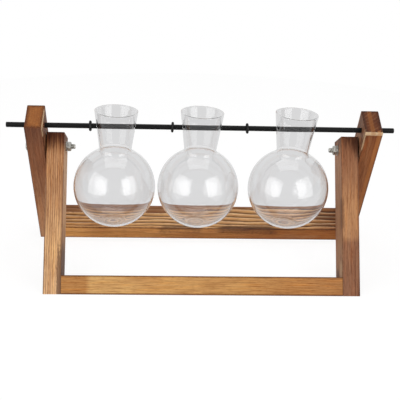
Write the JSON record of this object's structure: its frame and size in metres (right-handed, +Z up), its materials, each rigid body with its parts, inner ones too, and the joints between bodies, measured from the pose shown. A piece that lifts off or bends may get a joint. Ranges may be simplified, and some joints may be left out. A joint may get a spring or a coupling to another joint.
{
  "type": "hanging propagation vase stand",
  "caption": "Crossed folding wooden stand with a steel rod that carries clear glass bulb vases by holes in their flared necks, kept apart by rubber rings, for rooting cuttings in water.",
  "frame": {"origin": "on the table, in the middle of the outline seen from above", "axes": "+X along the rod to the viewer's right, +Y away from the viewer, +Z up"},
  "size_m": [0.3716, 0.1594, 0.1597],
  "materials": {
    "post_wood": "scorched pine, brushed and waxed, matt",
    "arm_wood": "scorched pine, brushed and waxed, matt",
    "front_rail_wood": "scorched pine, brushed and waxed, matt",
    "rear_rail_wood": "scorched pine, brushed and waxed, matt",
    "zinc_fasteners": "bright zinc plate",
    "black_rod": "satin black",
    "black_rubber": "matt",
    "clear_glass": "clear, blown, with slightly uneven walls"
  },
  "bodies": {
    "rear_frame": {"rear_left_arm": "arm_wood", "rear_right_arm": "arm_wood", "rear_rail": "rear_rail_wood", "rear_rail_screws": "zinc_fasteners", "left_pivot_bolt": "zinc_fasteners", "left_head_washer": "zinc_fasteners", "left_spacer_washer": "zinc_fasteners", "left_nut_washer": "zinc_fasteners", "left_pivot_nut": "zinc_fasteners", "right_pivot_bolt": "zinc_fasteners", "right_head_washer": "zinc_fasteners", "right_spacer_washer": "zinc_fasteners", "right_nut_washer": "zinc_fasteners", "right_pivot_nut": "zinc_fasteners"},
    "front_frame": {"front_left_post": "post_wood", "front_right_post": "post_wood", "front_rail": "front_rail_wood", "front_rail_screws": "zinc_fasteners"},
    "rod": {"hanging_rod": "black_rod"},
    "left_vase": {"vase_left": "clear_glass"},
    "middle_vase": {"vase_middle": "clear_glass"},
    "right_vase": {"vase_right": "clear_glass"},
    "left_ring": {"o_ring_left": "black_rubber"},
    "middle_ring": {"o_ring_middle": "black_rubber"},
    "right_ring": {"o_ring_right": "black_rubber"}
  },
  "joints": [
    {"name": "stand_fold", "type": "hinge", "parent": "rear_frame", "child": "front_frame", "pos_m": [0.0023, 0.00404, 0.1175], "axis": [1, 0, 0], "range_deg": [-45, 38.8]},
    {"name": "rod_slide", "type": "slide", "parent": "rear_frame", "child": "rod", "axis": [1, 0, 0], "range_m": [-0.031, 0.0355]},
    {"name": "left_vase_swing", "type": "hinge", "parent": "rear_frame", "child": "left_vase", "pos_m": [-0.08415, -0.00868, 0.14312], "axis": [1, 0, 0], "continuous": true},
    {"name": "middle_vase_swing", "type": "hinge", "parent": "rear_frame", "child": "middle_vase", "pos_m": [-0.00225, -0.00868, 0.14312], "axis": [1, 0, 0], "continuous": true},
    {"name": "right_vase_swing", "type": "hinge", "parent": "rear_frame", "child": "right_vase", "pos_m": [0.08705, -0.00868, 0.14312], "axis": [1, 0, 0], "continuous": true},
    {"name": "left_ring_slide", "type": "slide", "parent": "rear_frame", "child": "left_ring", "axis": [1, 0, 0], "range_m": [-0.041, 0.003]},
    {"name": "middle_ring_slide", "type": "slide", "parent": "rear_frame", "child": "middle_ring", "axis": [1, 0, 0], "range_m": [-0.033, 0.007]},
    {"name": "right_ring_slide", "type": "slide", "parent": "rear_frame", "child": "right_ring", "axis": [1, 0, 0], "range_m": [-0.023, 0.025]}
  ]
}
